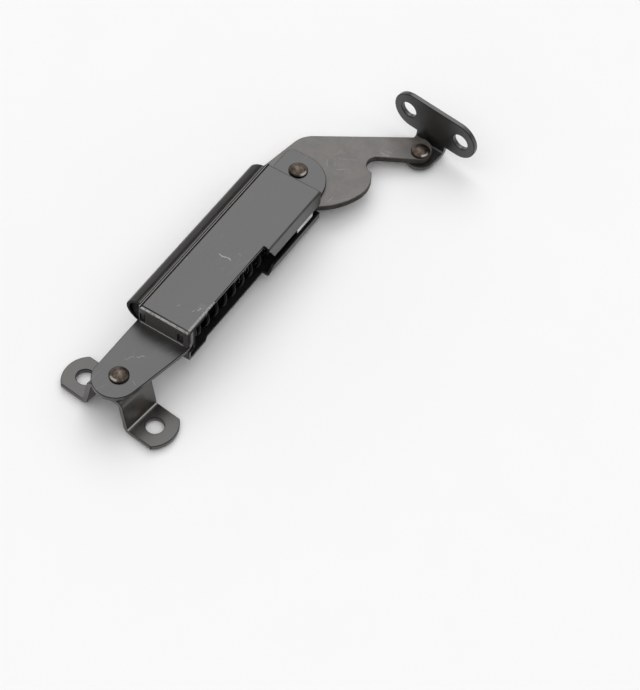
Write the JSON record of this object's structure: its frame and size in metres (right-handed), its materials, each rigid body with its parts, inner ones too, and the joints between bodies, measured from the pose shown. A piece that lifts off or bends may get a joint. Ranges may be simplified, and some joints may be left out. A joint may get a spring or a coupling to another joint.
{
  "type": "spring lid support",
  "caption": "Folding spring lid support: a wall bracket, a sheet spring case that pivots on it, a sprung cam lever and an angle bracket for the lid.",
  "frame": {"origin": "on the wall bracket's mounting face, midway between its two screw holes, on the axis of the wall rivet", "axes": "+Y along the spring case from the wall rivet to the lever's pivot, +Z out of the mounting face, +X to the open side of the case"},
  "size_m": [0.0593, 0.1328, 0.0267],
  "materials": {
    "black_finish": "semi-gloss black finish on steel sheet",
    "rivet_steel": "dark bronze finish on steel rivets",
    "bare_steel": "bare stamped steel",
    "spring_steel": "dark oiled spring wire"
  },
  "bodies": {
    "wall": {"wall_bracket": "black_finish", "wall_rivet": "rivet_steel"},
    "case": {"spring_case": "black_finish", "tongue": "black_finish", "spring_seat": "bare_steel", "spring_left": "spring_steel", "spring_right": "spring_steel", "pivot_rivet": "rivet_steel"},
    "lever": {"cam_lever": "black_finish", "lid_rivet": "rivet_steel"},
    "lid": {"lid_bracket": "black_finish"},
    "pusher": {"follower": "bare_steel", "spring_cap": "bare_steel"}
  },
  "joints": [
    {"name": "case_swing", "type": "hinge", "parent": "wall", "child": "case", "pos_m": [0, 0, 0], "axis": [0, 0, 1], "continuous": true},
    {"name": "lever_fold", "type": "hinge", "parent": "case", "child": "lever", "pos_m": [0, 0.0882, 0], "axis": [0, 0, -1], "range_deg": [0, 90], "stiffness_Nm_per_rad": 0.3},
    {"name": "pusher_slide", "type": "slide", "parent": "case", "child": "pusher", "axis": [0, -1, 0], "range_m": [0, 0.0099], "deforming": ["spring_left", "spring_right"]},
    {"name": "lid_pivot", "type": "hinge", "parent": "lever", "child": "lid", "pos_m": [0.02475, 0.11597, 0], "axis": [0, 0, 1], "range_deg": [-85, 25]}
  ],
  "couplings": [
    {"joint": "pusher_slide", "follows": "lever_fold", "m_per_rad": 0.0063}
  ]
}
